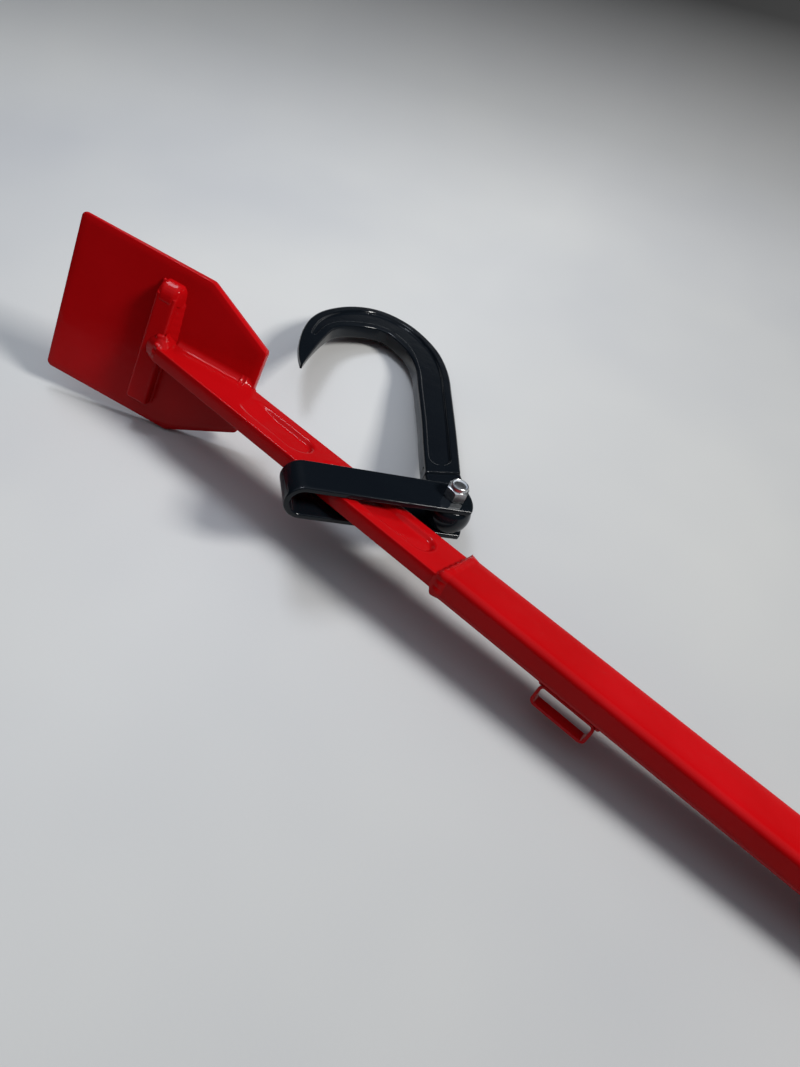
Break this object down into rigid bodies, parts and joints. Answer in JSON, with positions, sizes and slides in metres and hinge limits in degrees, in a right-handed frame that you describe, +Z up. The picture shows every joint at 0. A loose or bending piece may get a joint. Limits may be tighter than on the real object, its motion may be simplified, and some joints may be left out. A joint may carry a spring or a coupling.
{
  "type": "felling lever",
  "caption": "Long steel lever with a pitched blade and heel bar, and a curved hook on a strap that slides along the bar and turns on a bolt.",
  "frame": {"origin": "on the floor, under the middle of the whole object, with the tool lying on blade corner, hook and handle end", "axes": "+X level along the shaft towards the blade, +Z up from the floor, +Y to the side away from the hook"},
  "size_m": [1.2968, 0.3538, 0.164],
  "materials": {
    "red_paint": "gloss",
    "black_paint": "gloss",
    "zinc": "satin",
    "nylon": "satin",
    "plug_plastic": "matte"
  },
  "bodies": {
    "lever": {"shaft_tube": "red_paint", "front_bar": "red_paint", "blade_plate": "red_paint", "heel_bar": "red_paint", "heel_weld": "red_paint", "bar_weld_right": "red_paint", "bar_weld_left": "red_paint", "nose_weld": "red_paint", "tail_weld": "red_paint", "joint_weld": "red_paint", "hanger_loop": "red_paint", "loop_welds": "red_paint", "end_plug": "plug_plastic"},
    "strap": {"hook_strap": "black_paint", "hook_bolt": "zinc", "lock_nut": "zinc", "nut_insert": "nylon"},
    "hook": {"turning_hook": "black_paint"}
  },
  "joints": [
    {"name": "strap_slide", "type": "slide", "parent": "lever", "child": "strap", "axis": [0.9989, 0, 0.0473], "range_m": [-0.05, 0.13]},
    {"name": "hook_pivot", "type": "hinge", "parent": "strap", "child": "hook", "pos_m": [0.25818, 0.05227, 0.04811], "axis": [-0.0462, -0.2159, 0.9753], "range_deg": [-130, 15]}
  ]
}
